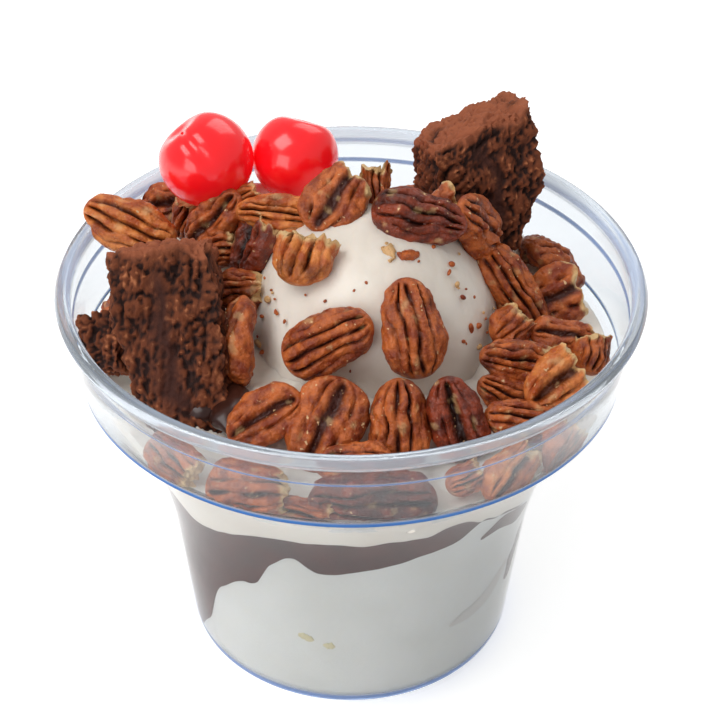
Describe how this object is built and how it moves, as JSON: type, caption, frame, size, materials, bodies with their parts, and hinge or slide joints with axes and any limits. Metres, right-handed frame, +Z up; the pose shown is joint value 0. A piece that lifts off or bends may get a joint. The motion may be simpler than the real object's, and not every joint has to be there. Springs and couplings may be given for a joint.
{
  "type": "ice cream sundae",
  "caption": "Ice cream sundae in a clear plastic cup: a scoop over a fudge layer, with brownie pieces, cherries and pecans.",
  "frame": {"origin": "centre of the cup's foot, on the surface that it stands on", "axes": "+Z up along the cup's axis; the sundae is looked at from -Y, with the brownie slice at the left"},
  "size_m": [0.12, 0.12, 0.1113],
  "materials": {
    "clear_plastic": "gloss",
    "ice_cream": "satin",
    "fudge": "gloss",
    "brownie": "matte",
    "cherry": "gloss",
    "pecan": "satin"
  },
  "bodies": {
    "root": {"brownie_corner": "brownie", "brownie_crumb": "brownie", "brownie_slice": "brownie", "cherry_left": "cherry", "cherry_right": "cherry", "cup": "clear_plastic", "fudge_layer": "fudge", "ice_cream_base": "ice_cream", "ice_cream_scoop": "ice_cream", "pecan_back_1": "pecan", "pecan_back_2": "pecan", "pecan_back_3": "pecan", "pecan_back_4": "pecan", "pecan_dome_left": "pecan", "pecan_dome_right": "pecan", "pecan_far_left": "pecan", "pecan_front_1": "pecan", "pecan_front_2": "pecan", "pecan_front_3": "pecan", "pecan_front_4": "pecan", "pecan_front_5": "pecan", "pecan_left_1": "pecan", "pecan_left_2": "pecan", "pecan_left_3": "pecan", "pecan_left_4": "pecan", "pecan_left_5": "pecan", "pecan_rear_1": "pecan", "pecan_rear_2": "pecan", "pecan_rear_3": "pecan", "pecan_rear_4": "pecan", "pecan_rear_5": "pecan", "pecan_rear_6": "pecan", "pecan_right_1": "pecan", "pecan_right_2": "pecan", "pecan_right_3": "pecan", "pecan_right_4": "pecan", "pecan_right_5": "pecan", "pecan_right_6": "pecan", "pecan_right_7": "pecan", "pecan_right_8": "pecan", "pecan_side_1": "pecan", "pecan_side_2": "pecan", "pecan_top_1": "pecan", "pecan_top_2": "pecan", "pecan_top_3": "pecan", "pecan_top_4": "pecan", "pecan_top_5": "pecan", "pecan_wall_1": "pecan", "pecan_wall_2": "pecan", "pecan_wall_3": "pecan", "pecan_wall_4": "pecan", "pecan_wall_5": "pecan", "pecan_wall_6": "pecan", "pecan_wall_7": "pecan"}
  },
  "joints": []
}
